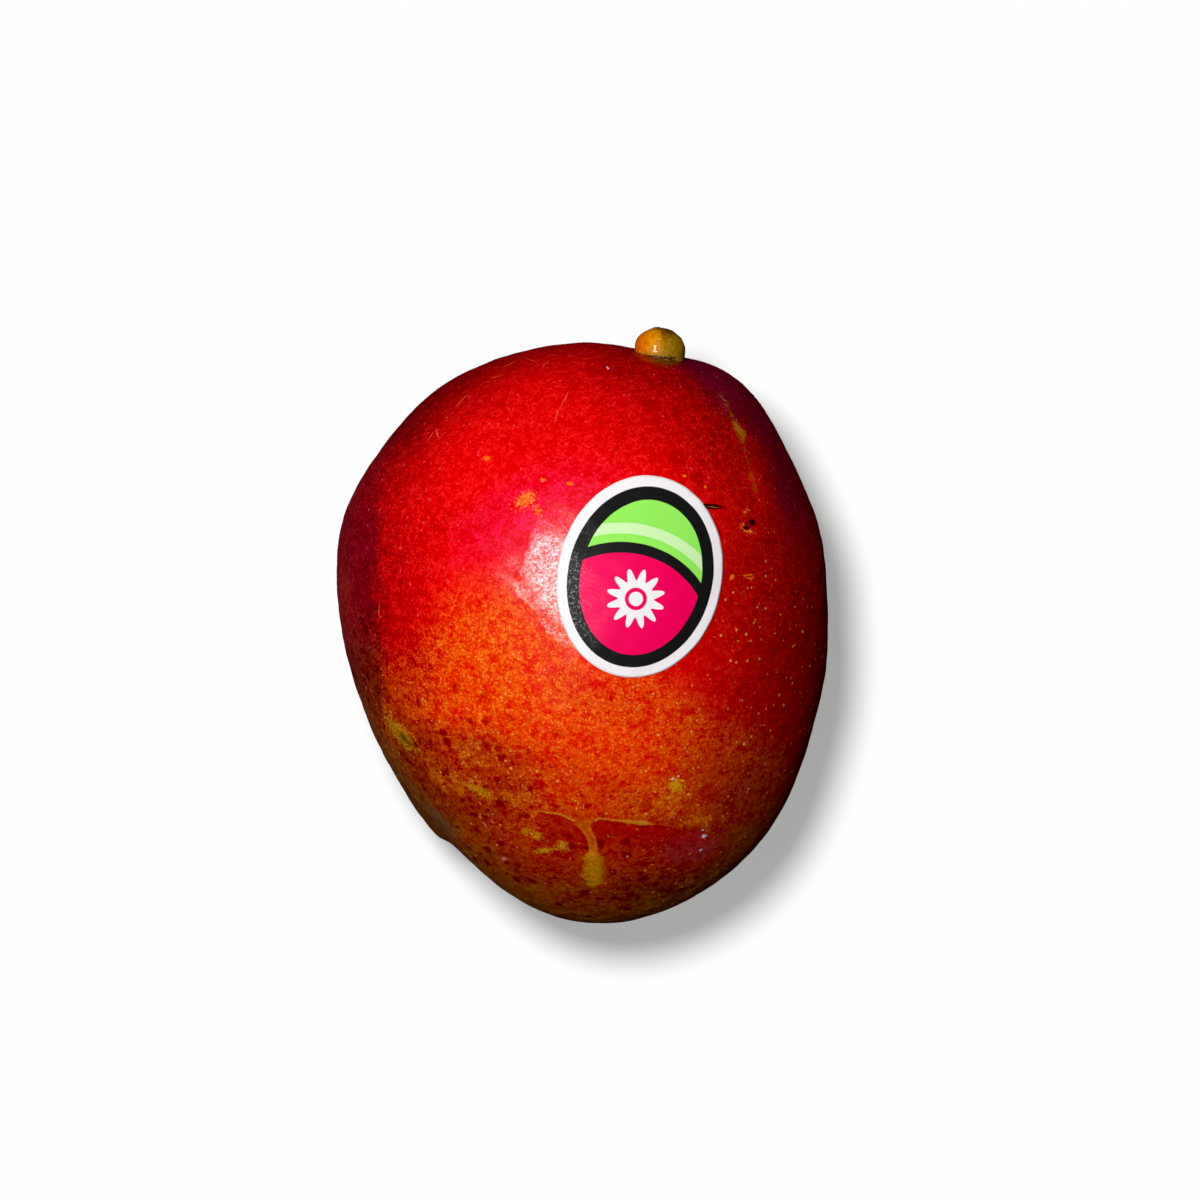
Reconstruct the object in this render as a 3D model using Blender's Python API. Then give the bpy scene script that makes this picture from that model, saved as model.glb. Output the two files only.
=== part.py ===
"""A ripe mango lying on its cheek, with the stub of its stem and a plain oval fruit sticker.

Metres, +Z up. The fruit rests on z = 0 and the middle of its bounding box is at x = y = 0.
+Y points to the stem end, -X to the belly side, which has the beak, and +X to the back.
Three solids: the fruit, which grew as one body, the stem stub and the sticker.
"""

import math

import bmesh
import bpy
import numpy as np
from mathutils import Vector

# The fruit. Every radius is measured from its heart, a point in the middle plane of the fruit.
HEART = np.array([0.0, -0.0012, 0.0405])
HALF_THICKNESS = 0.0412
# Radii of the outline seen from above, one every 15 degrees, anticlockwise from +X.
OUTLINE_RADII = np.array([
    0.0463, 0.0473, 0.0497, 0.0523, 0.0562, 0.0555,
    0.0547, 0.0544, 0.0538, 0.0519, 0.0507, 0.0482,
    0.0453, 0.0437, 0.0440, 0.0446, 0.0472, 0.0514,
    0.0546, 0.0550, 0.0535, 0.0512, 0.0483, 0.0468,
])
# The cheeks are thicker towards the stem: share of thickness gained over one length of y.
THICKENING = 0.08
THICKENING_LENGTH = 0.055
# The long axis rises towards the stem, so that the fruit rests under its centre of mass.
AXIS_RISE = 0.05

# The hollow in which the stem stands.
STEM_BEARING = math.radians(74.4)
STEM_ELEVATION = math.radians(7.0)
HOLLOW_DEPTH = 0.0015
HOLLOW_WIDTH = math.radians(8.0)

# The beak, a low bump on the belly side, below the middle plane. It ends in a notch.
BEAK_BEARING = math.radians(234.0)
BEAK_ELEVATION = math.radians(-14.0)
BEAK_HEIGHT = 0.0040
BEAK_RISE = math.radians(22.0)
BEAK_FALL = math.radians(5.5)
BEAK_HALF_WIDTH = math.radians(11.0)

# Two faint waves that keep the cheeks from being a perfect oval.
LUMP_HEIGHT = 0.0003
LUMP_WAVES = np.array([[3.1, -4.2, 2.7], [-4.6, 2.9, 3.8]])

# Facets of the fruit, round its stem axis and from stem to tip.
FRUIT_SEGMENTS = 80
FRUIT_RINGS = 48

# What rests on the skin keeps this gap to it.
SKIN_GAP = 0.0003

# The stem stub: a lobed knob with steep sides and a blunt top, standing in the hollow.
STUB_RADIUS = 0.0046
STUB_HEIGHT = 0.0053
STUB_BEARING = math.radians(95.0)
STUB_ELEVATION = math.radians(10.0)
STUB_BULGE = 0.07
STUB_BLUNTNESS = 2.7
STUB_LOBES = 5
STUB_LOBE_DEPTH = 0.04
STUB_SEGMENTS = 30
STUB_BASE_RINGS = 4
STUB_DOME_RINGS = 9

# The sticker: an oval sheet laid on the upper cheek. Its middle lies this far from the heart.
LABEL_MIDDLE = np.array([0.0103, 0.0099, 0.0400])
LABEL_HALF_LENGTH = 0.0174
LABEL_HALF_WIDTH = 0.0146
LABEL_TILT = math.radians(18.0)
LABEL_THICKNESS = 0.0006
LABEL_SEGMENTS = 48
LABEL_RINGS = 8


def outline_waves():
    """The outline's radii as a mean and a sum of waves round the fruit."""
    waves = np.fft.rfft(OUTLINE_RADII) / len(OUTLINE_RADII)
    waves[1:-1] *= 2.0
    return waves


WAVES = outline_waves()


def direction_of(bearing, elevation):
    """The unit vector at a bearing from +X and an elevation above the middle plane."""
    level = math.cos(elevation)
    return np.array([level * math.cos(bearing), level * math.sin(bearing), math.sin(elevation)])


STEM_AXIS = direction_of(STEM_BEARING, STEM_ELEVATION)


def skin_radius(directions):
    """Distance from the heart to the skin along unit vectors.

    An ellipse rises from the mean outline to the crown. Each wave of the outline is added to it,
    times the cosine of the elevation to the power of its wave number, so the crowns stay smooth.
    The hollow is a dip round the stem axis, and the beak a bump that rises slowly and ends fast.
    """
    x, y, z = directions.T
    level = np.hypot(x, y)
    bearing = np.arctan2(y, x)
    radius = 1.0 / np.sqrt((level / WAVES[0].real) ** 2 + (z / HALF_THICKNESS) ** 2)
    for number in range(1, len(WAVES)):
        radius += level**number * (WAVES[number] * np.exp(1j * number * bearing)).real
    from_stem = np.arccos(np.clip(directions @ STEM_AXIS, -1.0, 1.0))
    radius -= HOLLOW_DEPTH * np.exp(-((from_stem / HOLLOW_WIDTH) ** 2))
    past_beak = (bearing - BEAK_BEARING + math.pi) % (2 * math.pi) - math.pi
    along = np.where(past_beak < 0, past_beak / BEAK_RISE, past_beak / BEAK_FALL)
    across = (np.arcsin(np.clip(z, -1.0, 1.0)) - BEAK_ELEVATION) / BEAK_HALF_WIDTH
    radius += BEAK_HEIGHT * np.exp(-(along**2) - across**2)
    radius += LUMP_HEIGHT * np.sin(directions @ LUMP_WAVES.T).prod(axis=1)
    return radius


def skin_points(directions, lift=0.0):
    """Points on the skin, or lift outside it, with the underside flat where it meets the table."""
    points = directions * (skin_radius(directions) + lift)[:, None]
    points[:, 2] *= 1.0 + THICKENING * points[:, 1] / THICKENING_LENGTH
    points[:, 2] += AXIS_RISE * points[:, 1]
    points += HEART
    points[:, 2] = np.maximum(points[:, 2], 0.0)
    return points


def side_axes(axis):
    """Two unit vectors that make a right-handed set with axis."""
    first = np.cross([0.0, 0.0, 1.0], axis)
    first /= np.linalg.norm(first)
    return first, np.cross(axis, first)


def principled(name, colour, roughness):
    """A plain surface with one colour. Nothing on a mango is metal."""
    material = bpy.data.materials.new(name)
    material.use_nodes = True
    shader = material.node_tree.nodes["Principled BSDF"]
    shader.inputs["Base Color"].default_value = (*colour, 1.0)
    shader.inputs["Roughness"].default_value = roughness
    shader.inputs["Metallic"].default_value = 0.0
    return material


def place(name, shape, material):
    """Makes the named object from its bmesh, shaded smooth."""
    bmesh.ops.recalc_face_normals(shape, faces=shape.faces)
    mesh = bpy.data.meshes.new(name)
    shape.to_mesh(mesh)
    shape.free()
    mesh.shade_smooth()
    mesh.materials.append(material)
    made = bpy.data.objects.new(name, mesh)
    bpy.context.scene.collection.objects.link(made)
    return made


def make_fruit():
    """A sphere with its poles on the stem axis, each point moved out to the skin."""
    body = bmesh.new()
    bmesh.ops.create_uvsphere(body, u_segments=FRUIT_SEGMENTS, v_segments=FRUIT_RINGS, radius=1.0)
    first, second = side_axes(STEM_AXIS)
    ball = np.array([vertex.co for vertex in body.verts])
    directions = ball @ np.array([first, second, STEM_AXIS])
    directions /= np.linalg.norm(directions, axis=1)[:, None]
    for vertex, point in zip(body.verts, skin_points(directions)):
        vertex.co = point
    return place("fruit", body, principled("waxy red skin", (0.50, 0.025, 0.006), 0.35))


def bridge_rings(solid, rings):
    """Side faces between each ring of vertices and the next."""
    for lower, upper in zip(rings, rings[1:]):
        count = len(lower)
        for i in range(count):
            j = (i + 1) % count
            solid.faces.new((lower[i], lower[j], upper[j], upper[i]))


def make_stem_stub():
    """A lobed knob. Its underside follows the skin, and its sides round over to a blunt top."""
    solid = bmesh.new()
    first, second = side_axes(STEM_AXIS)
    turn = np.linspace(0.0, 2 * math.pi, STUB_SEGMENTS, endpoint=False)
    outward = np.outer(np.cos(turn), first) + np.outer(np.sin(turn), second)
    lobes = 1.0 + STUB_LOBE_DEPTH * np.cos(STUB_LOBES * turn)
    base_angle = STUB_RADIUS / skin_radius(STEM_AXIS[None, :])[0] * lobes[:, None]
    foot = skin_points(STEM_AXIS[None, :], SKIN_GAP)[0]
    rings = []
    for step in range(1, STUB_BASE_RINGS + 1):
        angle = base_angle * step / STUB_BASE_RINGS
        rings.append(skin_points(np.cos(angle) * STEM_AXIS + np.sin(angle) * outward, SKIN_GAP))
    from_foot = rings[-1] - foot
    rise_way = direction_of(STUB_BEARING, STUB_ELEVATION) * STUB_HEIGHT
    for step in range(1, STUB_DOME_RINGS + 1):
        quarter = 0.5 * math.pi * step / (STUB_DOME_RINGS + 1)
        rise = math.sin(quarter) ** (2 / STUB_BLUNTNESS)
        width = math.cos(quarter) ** (2 / STUB_BLUNTNESS) * (1 + STUB_BULGE * math.sin(math.pi * rise))
        rings.append(foot + from_foot * width + rise_way * rise)
    placed = [[solid.verts.new(point) for point in ring] for ring in rings]
    bridge_rings(solid, placed)
    centre, tip = solid.verts.new(foot), solid.verts.new(foot + rise_way)
    for i in range(STUB_SEGMENTS):
        j = (i + 1) % STUB_SEGMENTS
        solid.faces.new((centre, placed[0][j], placed[0][i]))
        solid.faces.new((placed[-1][i], placed[-1][j], tip))
    return place("stem_stub", solid, principled("stem tissue", (0.47, 0.22, 0.02), 0.40))


def make_label():
    """An oval disc of rings laid on the skin, then thickened outwards."""
    sheet = bmesh.new()
    middle = LABEL_MIDDLE / np.linalg.norm(LABEL_MIDDLE)
    east = np.cross([0.0, 1.0, 0.0], middle)
    east /= np.linalg.norm(east)
    north = np.cross(middle, east)
    long_way = math.sin(LABEL_TILT) * east + math.cos(LABEL_TILT) * north
    short_way = math.cos(LABEL_TILT) * east - math.sin(LABEL_TILT) * north
    turn = np.linspace(0.0, 2 * math.pi, LABEL_SEGMENTS, endpoint=False)
    reach = skin_radius(middle[None, :])[0]
    offsets = np.outer(LABEL_HALF_WIDTH * np.cos(turn), short_way)
    offsets += np.outer(LABEL_HALF_LENGTH * np.sin(turn), long_way)
    distance = np.linalg.norm(offsets, axis=1)
    towards = offsets / distance[:, None]
    rings = []
    for step in range(1, LABEL_RINGS + 1):
        angle = (distance / reach * step / LABEL_RINGS)[:, None]
        directions = np.cos(angle) * middle + np.sin(angle) * towards
        rings.append([sheet.verts.new(point) for point in skin_points(directions, SKIN_GAP)])
    centre = sheet.verts.new(skin_points(middle[None, :], SKIN_GAP)[0])
    for i in range(LABEL_SEGMENTS):
        sheet.faces.new((centre, rings[0][i], rings[0][(i + 1) % LABEL_SEGMENTS]))
    bridge_rings(sheet, rings)
    made = place("label", sheet, principled("printed film", (0.75, 0.02, 0.10), 0.25))
    turned_in = Vector(middle).dot(made.data.polygons[0].normal) < 0
    film = made.modifiers.new("film", "SOLIDIFY")
    film.thickness = LABEL_THICKNESS
    film.offset = -1.0 if turned_in else 1.0
    return made


def main():
    for old in list(bpy.data.objects):
        bpy.data.objects.remove(old)
    make_fruit()
    make_stem_stub()
    make_label()


main()
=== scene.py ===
"""A ripe mango lying on its cheek, with the stub of its stem and a plain oval fruit sticker.

Metres, +Z up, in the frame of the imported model. +Y points to the stem, -X to the belly side.
Surface patterns are worked out in millimetres.
"""

import math

import bpy
import numpy as np
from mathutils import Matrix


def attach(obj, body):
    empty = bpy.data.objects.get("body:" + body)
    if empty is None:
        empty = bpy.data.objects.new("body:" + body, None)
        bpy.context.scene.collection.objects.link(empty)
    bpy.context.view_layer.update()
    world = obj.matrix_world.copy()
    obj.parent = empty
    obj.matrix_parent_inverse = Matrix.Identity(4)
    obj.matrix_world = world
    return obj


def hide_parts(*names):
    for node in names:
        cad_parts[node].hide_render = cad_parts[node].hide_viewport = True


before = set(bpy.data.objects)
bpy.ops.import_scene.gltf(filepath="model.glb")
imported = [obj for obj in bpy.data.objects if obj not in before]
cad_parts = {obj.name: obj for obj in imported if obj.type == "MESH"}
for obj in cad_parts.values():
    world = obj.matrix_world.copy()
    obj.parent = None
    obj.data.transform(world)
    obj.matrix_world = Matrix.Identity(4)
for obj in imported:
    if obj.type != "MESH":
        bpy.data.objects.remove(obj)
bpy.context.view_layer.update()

# The skin. The fruit grew as one body: a thin waxy skin over the flesh, red where the sun
# reached it and yellow to green below. It lies on a small flat spot of its lower cheek.

MM = 0.001

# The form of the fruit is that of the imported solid: radii from its heart, in the middle plane.
HEART = np.array([0.0, -0.0012, 0.0405])
HALF_THICKNESS = 0.0412
OUTLINE_RADII = np.array([  # every 15 degrees, anticlockwise from +X
    0.0463, 0.0473, 0.0497, 0.0523, 0.0562, 0.0555,
    0.0547, 0.0544, 0.0538, 0.0519, 0.0507, 0.0482,
    0.0453, 0.0437, 0.0440, 0.0446, 0.0472, 0.0514,
    0.0546, 0.0550, 0.0535, 0.0512, 0.0483, 0.0468,
])
# The cheeks grow thicker towards the stem, and the long axis rises to it.
THICKENING = 0.08
THICKENING_LENGTH = 0.055
AXIS_RISE = 0.05
# The hollow that the stem grows from, the beak near the tip, and faint lumps all over.
STEM_BEARING = math.radians(74.4)
STEM_ELEVATION = math.radians(7.0)
HOLLOW_DEPTH = 0.0015
HOLLOW_WIDTH = math.radians(8.0)
BEAK_BEARING = math.radians(234.0)
BEAK_ELEVATION = math.radians(-14.0)
BEAK_HEIGHT = 0.0040
BEAK_RISE = math.radians(22.0)
BEAK_FALL = math.radians(5.5)
BEAK_HALF_WIDTH = math.radians(11.0)
LUMP_HEIGHT = 0.0003
LUMP_WAVES = np.array([[3.1, -4.2, 2.7], [-4.6, 2.9, 3.8]])

# The visible skin is drawn a hair inside the solid, which keeps it within the solid's box.
SKIN_INSET = 0.0001
SKIN_COLUMNS = 440
SKIN_ROWS = 220

outline_waves = np.fft.rfft(OUTLINE_RADII) / len(OUTLINE_RADII)
outline_waves[1:-1] *= 2.0


def towards(bearing, elevation):
    """Unit vectors at bearings from +X and elevations above the middle plane."""
    level = np.cos(elevation)
    return np.stack([level * np.cos(bearing), level * np.sin(bearing), np.sin(elevation)], axis=-1)


def turned_from(start, bearing):
    """The turn from start to bearing, between minus and plus half a turn."""
    return (bearing - start + math.pi) % (2 * math.pi) - math.pi


stem_axis = towards(STEM_BEARING, STEM_ELEVATION)


def skin_radius(directions):
    """Distance from the heart to the skin along unit vectors.

    An ellipse rises from the mean outline to the crown. Each wave of the outline is added to it,
    times the cosine of the elevation to the power of its wave number. The hollow of the stem is
    a dip round its axis, and the beak a bump that rises slowly and ends fast.
    """
    x, y, z = np.moveaxis(directions, -1, 0)
    level = np.hypot(x, y)
    bearing = np.arctan2(y, x)
    radius = 1.0 / np.sqrt((level / outline_waves[0].real) ** 2 + (z / HALF_THICKNESS) ** 2)
    for number in range(1, len(outline_waves)):
        radius += level**number * (outline_waves[number] * np.exp(1j * number * bearing)).real
    from_stem = np.arccos(np.clip(directions @ stem_axis, -1.0, 1.0))
    radius -= HOLLOW_DEPTH * np.exp(-((from_stem / HOLLOW_WIDTH) ** 2))
    past_beak = turned_from(BEAK_BEARING, bearing)
    along = np.where(past_beak < 0, past_beak / BEAK_RISE, past_beak / BEAK_FALL)
    across = (np.arcsin(np.clip(z, -1.0, 1.0)) - BEAK_ELEVATION) / BEAK_HALF_WIDTH
    radius += BEAK_HEIGHT * np.exp(-(along**2) - across**2)
    radius += LUMP_HEIGHT * np.sin(directions @ LUMP_WAVES.T).prod(axis=-1)
    return radius


def skin_points(directions, lift=0.0):
    """Points of the skin, or lift outside it: the heart plus each direction times its radius.

    The cheeks thicken towards the stem and the long axis rises to it. Nothing goes below z = 0.
    """
    points = directions * (skin_radius(directions) + lift)[..., None]
    points[..., 2] *= 1.0 + THICKENING * points[..., 1] / THICKENING_LENGTH
    points[..., 2] += AXIS_RISE * points[..., 1]
    points += HEART
    points[..., 2] = np.maximum(points[..., 2], 0.0)
    return points


HALVINGS = 30


def over(spots):
    """Points of the upper skin over places x, y, all in millimetres.

    A place fixes the bearing. The elevation is halved towards the one whose point is that far out.
    """
    level = np.atleast_2d(spots) * MM - HEART[:2]
    bearing = np.arctan2(level[:, 1], level[:, 0])
    low = np.zeros(len(level))
    high = np.full(len(level), 0.5 * math.pi)
    for _ in range(HALVINGS):
        middle = 0.5 * (low + high)
        reach = skin_radius(towards(bearing, middle)) * np.cos(middle)
        too_low = reach > np.hypot(level[:, 0], level[:, 1])
        low = np.where(too_low, middle, low)
        high = np.where(too_low, high, middle)
    return skin_points(towards(bearing, low)) / MM


def axes_beside(axis):
    """Two unit vectors that make a right-handed set with axis."""
    first = np.cross([0.0, 0.0, 1.0], axis)
    first /= np.linalg.norm(first)
    return first, np.cross(axis, first)


def ring_mesh(name, first, rings, last=None):
    """A mesh over rings of points, which go anticlockwise round the way from last to first.

    Quads join each ring to the next one, column by column, and a fan of triangles closes each
    end. With no last point, that end stays open.
    """
    rows, columns = rings.shape[:2]
    points = np.vstack([first, rings.reshape(-1, 3)] + ([] if last is None else [last]))
    here = 1 + np.arange(rows * columns).reshape(rows, columns)
    beside = np.roll(here, -1, axis=1)
    quads = np.stack([here[:-1], here[1:], beside[1:], beside[:-1]], axis=-1).reshape(-1, 4)
    fan = np.stack([np.zeros(columns, int), here[0], beside[0]], axis=-1)
    faces = fan.tolist() + quads.tolist()
    if last is not None:
        fan = np.stack([np.full(columns, len(points) - 1), beside[-1], here[-1]], axis=-1)
        faces += fan.tolist()
    mesh = bpy.data.meshes.new(name)
    mesh.from_pydata(points, [], faces)
    mesh.shade_smooth()
    made = bpy.data.objects.new(name, mesh)
    bpy.context.scene.collection.objects.link(made)
    return made


def store(made, name, values):
    """Keeps three numbers for each point of a mesh under a name, for its material to read."""
    attribute = made.data.attributes.new(name, "FLOAT_VECTOR", "POINT")
    attribute.data.foreach_set("vector", values.astype(np.float32).ravel())


# Marks along a path on the upper skin, drawn from above in millimetres: the crease across the
# lower cheek with the run of dried sap below it, and the rubbed streak down the back shoulder.
PATHS = {
    "crease": (
        (-7.9, -32.2), (-4.1, -32.8), (-1.6, -33.7), (1.9, -34.3),
        (3.0, -33.5), (13.0, -34.6), (24.0, -36.8),
    ),
    "sap": ((0.2, -33.9), (0.9, -35.7), (1.7, -37.1), (2.0, -38.9), (1.9, -42.0), (2.1, -46.6)),
    "streak": ((24.6, 43.4), (26.6, 38.4), (28.6, 34.4), (28.9, 31.8), (30.2, 26.9), (31.6, 21.0)),
}


def beside_path(points, path):
    """How far along a path points lie, and how far to the left of it, seen from above.

    The nearest stretch counts. It is found with closed ends. Then the path's own ends are opened,
    so that the way along it goes on past them. The third number is 0.
    """
    path = np.array(path)
    start = path[:-1]
    run = path[1:] - start
    length = np.linalg.norm(run, axis=-1)
    past = points[..., None, :2] - start
    share = (past * run).sum(axis=-1) / length**2
    kept = np.clip(share, 0.0, 1.0)
    aside = (past[..., 1] * run[:, 0] - past[..., 0] * run[:, 1]) / length
    away = np.linalg.norm(past - kept[..., None] * run, axis=-1)
    nearest = away.argmin(axis=-1)[..., None]
    kept[..., 0] = np.minimum(share[..., 0], 1.0)
    kept[..., -1] = np.maximum(share[..., -1], 0.0)
    before = np.concatenate([[0.0], np.cumsum(length)[:-1]])
    along = np.take_along_axis(before + kept * length, nearest, -1)[..., 0]
    side = np.sign(np.take_along_axis(aside, nearest, -1)[..., 0])
    offset = np.linalg.norm(past - kept[..., None] * run, axis=-1)
    offset = np.take_along_axis(offset, nearest, -1)[..., 0]
    return np.stack([along, side * offset, np.zeros_like(along)], axis=-1)


# The pits beside the sticker, and two shallow ones in the slit: x, y, half width and depth.
PITS = (
    (30.0, 18.9, 0.85, 0.40),
    (28.9, 17.9, 0.65, 0.25),
    (21.4, 21.5, 0.50, 0.12),
    (23.4, 21.4, 0.50, 0.12),
)
WAVE_LENGTHS = (7.0, 11.0)
WAVE_HEIGHT = 0.045
# The groove of the crease: its depth and half width, how far it lies below the path, and the
# middle and half length of its open part. The groove and the pits are only on the crown.
CREASE_DEPTH = 0.20
CREASE_HALF_WIDTH = 0.9
CREASE_DROP = 0.7
CREASE_MIDDLE = 17.0
CREASE_HALF_LENGTH = 14.0
CROWN_HEIGHT = 45.0


def relief(points):
    """Height of the fine forms over the skin, in millimetres: slow waves less creases and pits.

    The crease is a bell-shaped groove just below its path. Each pit is a round bell.
    """
    height = np.zeros(points.shape[:-1])
    for length in WAVE_LENGTHS:
        x, y, z = np.moveaxis(2 * math.pi * points / length, -1, 0)
        height += np.sin(x + 1.3 * np.sin(y * 0.7)) * np.sin(z + y)
    height *= WAVE_HEIGHT
    on_top = points[..., 2] > CROWN_HEIGHT
    along, aside, _ = np.moveaxis(beside_path(points, PATHS["crease"]), -1, 0)
    groove = CREASE_DEPTH * np.exp(-(((aside + CREASE_DROP) / CREASE_HALF_WIDTH) ** 2))
    height -= groove * np.exp(-(((along - CREASE_MIDDLE) / CREASE_HALF_LENGTH) ** 4)) * on_top
    for x, y, half_width, depth in PITS:
        away = np.hypot(points[..., 0] - x, points[..., 1] - y)
        height -= depth * np.exp(-((away / half_width) ** 2)) * on_top
    return height


# Places where the blush is thin or gone: x, y, half length, half width, and the turn of the long
# way from +X. In the first list sap left the skin olive, in the second it is only veiled, and in
# the third it is rubbed through to the orange ground.
STAINED = (
    (-10.2, -36.1, 1.3, 0.8, 10),
    (-8, -36.9, 1.7, 1, -20),
    (-3.5, -38.8, 1.6, 1.2, 0),
    (-6.6, -39.6, 2.8, 0.7, 10),
    (-18.6, -28.6, 4, 0.9, -24),
    (-33.2, -18.9, 5, 1.9, -48),
    (16.7, -27.4, 1.6, 2, 60),
)
VEILED = (
    (-22, -27.5, 8, 3.2, -20),
    (-27, -25.6, 3.4, 1.8, -45),
    (-19, -22, 5.5, 4, 10),
    (-10.5, -31, 5, 4.2, 0),
    (15, -31.4, 10, 4.8, 12),
    (21, -34.2, 5.6, 2.2, -10),
    (0.4, -36, 2.6, 1.6, -62),
    (2, -43.8, 5.4, 3, -88),
)
RUBBED = (
    (-9.8, 22.4, 2.7, 1.5, 30),
    (-7.4, 20.6, 1.3, 0.9, -40),
    (28.2, 18.2, 0.9, 0.5, 60),
    (29.4, 17.3, 1.4, 0.45, -10),
    (28.9, 20.9, 1, 0.5, 50),
)


# The ovals lie only on the skin above this height.
OVALS_ABOVE = 30.0


def ovals(points, rows):
    """1 in the middle of any of the ovals, 0 on their edges and less outside, on the upper skin."""
    field = np.full(points.shape[:-1], -1.0)
    for x, y, half_length, half_width, turn in rows:
        way = np.exp(-1j * math.radians(turn))
        turned = (points[..., 0] - x + 1j * (points[..., 1] - y)) * way
        away = np.hypot(turned.real / half_length, turned.imag / half_width)
        field = np.maximum(field, 1.0 - away)
    return np.where(points[..., 2] > OVALS_ABOVE, field, -1.0)


def mango_skin_mesh():
    """Rings of directions from the stem to the tip, each moved out to the skin and its relief.

    Each point also holds where it lies beside the paths and in the stained, veiled and rubbed
    places. Between points these numbers run evenly, so the marks' edges stay finer than the mesh.
    """
    first, second = axes_beside(stem_axis)
    turn = np.linspace(0.0, 2 * math.pi, SKIN_COLUMNS, endpoint=False)
    tilt = np.linspace(0.0, math.pi, SKIN_ROWS + 1)[:, None, None]
    outward = np.outer(np.cos(turn), first) + np.outer(np.sin(turn), second)
    directions = np.cos(tilt) * stem_axis + np.sin(tilt) * outward
    height = relief(skin_points(directions) / MM) * MM
    points = skin_points(directions, height - SKIN_INSET)
    made = ring_mesh("mango_skin", points[0, 0], points[1:-1], points[-1, 0])
    places = np.vstack([points[:1, 0], points[1:-1].reshape(-1, 3), points[-1:, 0]]) / MM
    for name, path in PATHS.items():
        store(made, name, beside_path(places, path))
    store(made, "marks", np.stack([ovals(places, rows) for rows in (STAINED, VEILED, RUBBED)], axis=-1))
    return made


class Wire:
    """A node's output socket. Arithmetic adds Math nodes, and node adds any other node."""

    def __init__(self, tree, socket):
        self.tree = tree
        self.socket = socket

    def node(self, kind, settings, inputs, output=0):
        """Adds a node: its settings are set first, then the values or wires of its inputs."""
        made = self.tree.nodes.new(kind)
        for name, value in settings.items():
            setattr(made, name, value)
        for place, value in inputs.items():
            if isinstance(value, Wire):
                self.tree.links.new(value.socket, made.inputs[place])
            else:
                made.inputs[place].default_value = value
        return Wire(self.tree, made.outputs[output])

    def maths(self, operation, *values):
        """Adds a Math node."""
        return self.node("ShaderNodeMath", {"operation": operation}, dict(enumerate(values)))

    def __add__(self, other):
        return self.maths("ADD", self, other)

    __radd__ = __add__

    def __sub__(self, other):
        return self.maths("SUBTRACT", self, other)

    def __rsub__(self, other):
        return self.maths("SUBTRACT", other, self)

    def __mul__(self, other):
        return self.maths("MULTIPLY", self, other)

    __rmul__ = __mul__

    def __truediv__(self, other):
        return self.maths("DIVIDE", self, other)

    def __rtruediv__(self, other):
        return self.maths("DIVIDE", other, self)

    def vector(self, operation, *values, output=0):
        """Adds a Vector Math node."""
        settings = {"operation": operation}
        return self.node("ShaderNodeVectorMath", settings, dict(enumerate(values)), output)

    def times(self, factor):
        """The vector times a number."""
        return self.node("ShaderNodeVectorMath", {"operation": "SCALE"}, {0: self, "Scale": factor})


def new_material(name):
    """A material, its Principled shader, and its object coordinates in millimetres."""
    material = bpy.data.materials.new(name)
    material.use_nodes = True
    tree = material.node_tree
    coordinates = tree.nodes.new("ShaderNodeTexCoord")
    place = Wire(tree, coordinates.outputs["Object"]).times(1.0 / MM)
    return material, tree.nodes["Principled BSDF"], place


def connect(shader, wires, constants):
    """Sets a shader's constant sockets and links the wires to the others."""
    for name, value in constants.items():
        shader.inputs[name].default_value = value
    for name, wire in wires.items():
        wire.tree.links.new(wire.socket, shader.inputs[name])


def smooth(value, start, end):
    """0 at start and 1 at end, with a soft step between them."""
    return value.node(
        "ShaderNodeMapRange",
        {"interpolation_type": "SMOOTHSTEP"},
        {"Value": value, "From Min": start, "From Max": end},
    )


def bumpy(height):
    """The shading of a surface whose fine height is given in millimetres."""
    return height.node("ShaderNodeBump", {}, {"Strength": 1, "Distance": MM, "Height": height})


def stretch(value, start, full, fading, end):
    """1 from full to fading, 0 before start and past end, with soft steps between them."""
    return smooth(value, start, full) * smooth(value, end, fading)


def highest(first, second):
    """The higher one of two values."""
    return first.maths("MAXIMUM", first, second)


def lowest(first, second):
    """The lower one of two values."""
    return first.maths("MINIMUM", first, second)


def parts_of(place):
    """The x, y and z of a vector."""
    return [place.node("ShaderNodeSeparateXYZ", {}, {0: place}, output) for output in range(3)]


def noise(place, size, detail=2.0, roughness=0.5, output=0):
    """Cloudy noise whose blotches are about size millimetres across."""
    sockets = {"Vector": place, "Scale": 1.0 / size, "Detail": detail, "Roughness": roughness}
    return place.node("ShaderNodeTexNoise", {}, sockets, output)


def shaken(place, size, amount, detail=1.0):
    """The place moved about by up to amount millimetres, by noise of the given size."""
    colour = noise(place, size, detail, output=1)
    centred = colour.vector("SUBTRACT", colour, (0.5, 0.5, 0.5))
    return place.vector("ADD", place, centred.times(2.0 * amount))


def stored(place, name):
    """The vector of three numbers that the mesh keeps under a name."""
    return place.node("ShaderNodeAttribute", {"attribute_name": name}, {}, 1)


def size_of(value):
    """A number without its sign."""
    return value.maths("ABSOLUTE", value)


def scattered(place, spacing, radius, share):
    """Distance to the nearest of many scattered points, as a share of that point's own radius.

    Each point's cell has a random colour. Its red says whether it is kept, its green how big it is.
    """
    cells = place.node("ShaderNodeTexVoronoi", {}, {"Vector": place, "Scale": 1.0 / spacing})
    lots = Wire(cells.tree, cells.socket.node.outputs[1])
    chance = lots.node("ShaderNodeSeparateColor", {}, {0: lots})
    size = lots.node("ShaderNodeSeparateColor", {}, {0: lots}, 1) * (0.9 * radius) + 0.55 * radius
    return cells * spacing / size + chance.maths("GREATER_THAN", chance, share) * 9.0


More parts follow.
